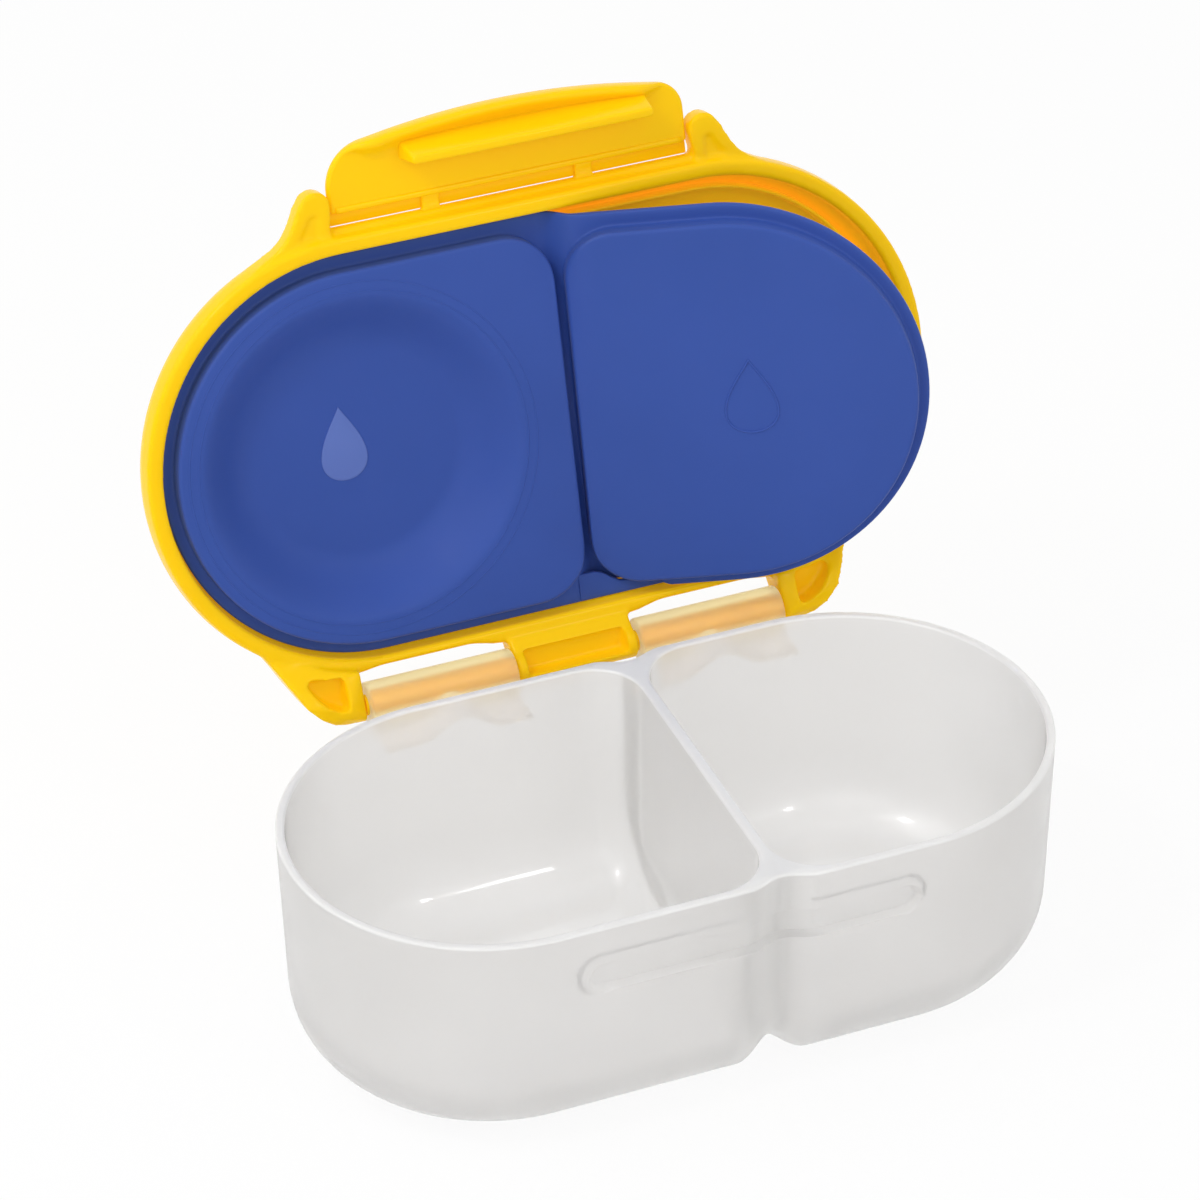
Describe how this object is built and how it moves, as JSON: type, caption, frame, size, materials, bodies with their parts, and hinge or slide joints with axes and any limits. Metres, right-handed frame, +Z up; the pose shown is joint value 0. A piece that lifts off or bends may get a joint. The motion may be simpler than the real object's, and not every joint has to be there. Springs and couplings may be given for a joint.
{
  "type": "toddler snack container",
  "caption": "Oblong two-compartment snack box: frosted tub with a dividing wall, hinged snap lid with a flexing latch, and a soft silicone seal with a pad for each compartment.",
  "frame": {"origin": "middle of the flat underside of the tub, on the table", "axes": "+X along the length towards the flat side of the seal, +Y to the back where the hinge is, +Z up; the lid is stored swung open as in the picture"},
  "size_m": [0.1846, 0.1424, 0.1759],
  "materials": {
    "tub": "frosted translucent polypropylene",
    "lid": "smooth injection-moulded polypropylene",
    "seal": "soft satin silicone"
  },
  "bodies": {
    "tub": {"tub_shell": "tub", "tub_divider": "tub", "hinge_barrel_left": "tub", "hinge_barrel_right": "tub"},
    "lid": {"lid_shell": "lid", "hinge_arm_left": "lid", "hinge_arm_right": "lid", "hinge_centre_block": "lid", "hinge_pin_left": "lid", "hinge_pin_right": "lid", "latch_guard_left": "lid", "latch_guard_right": "lid", "seal_bowl_side": "seal"},
    "latch": {"latch_web_left": "lid", "latch_web_right": "lid", "latch_plate": "lid", "latch_hook_bar": "lid"},
    "seal_flap": {"seal_flat_side": "seal"}
  },
  "joints": [
    {"name": "lid_hinge", "type": "hinge", "parent": "tub", "child": "lid", "pos_m": [0, 0.0561, 0.0519], "axis": [1, 0, 0], "range_deg": [0, 105.4]},
    {"name": "latch_hinge", "type": "hinge", "parent": "lid", "child": "latch", "pos_m": [0, 0.0908, 0.15602], "axis": [1, 0, 0], "range_deg": [0, 90]},
    {"name": "seal_peel", "type": "hinge", "parent": "lid", "child": "seal_flap", "pos_m": [0.0079, 0.07681, 0.10439], "axis": [0.2756, -0.2553, -0.9267], "range_deg": [-23.4, 0]}
  ],
  "couplings": [
    {"joint": "seal_peel", "follows": "lid_hinge", "ratio": -0.22201}
  ]
}
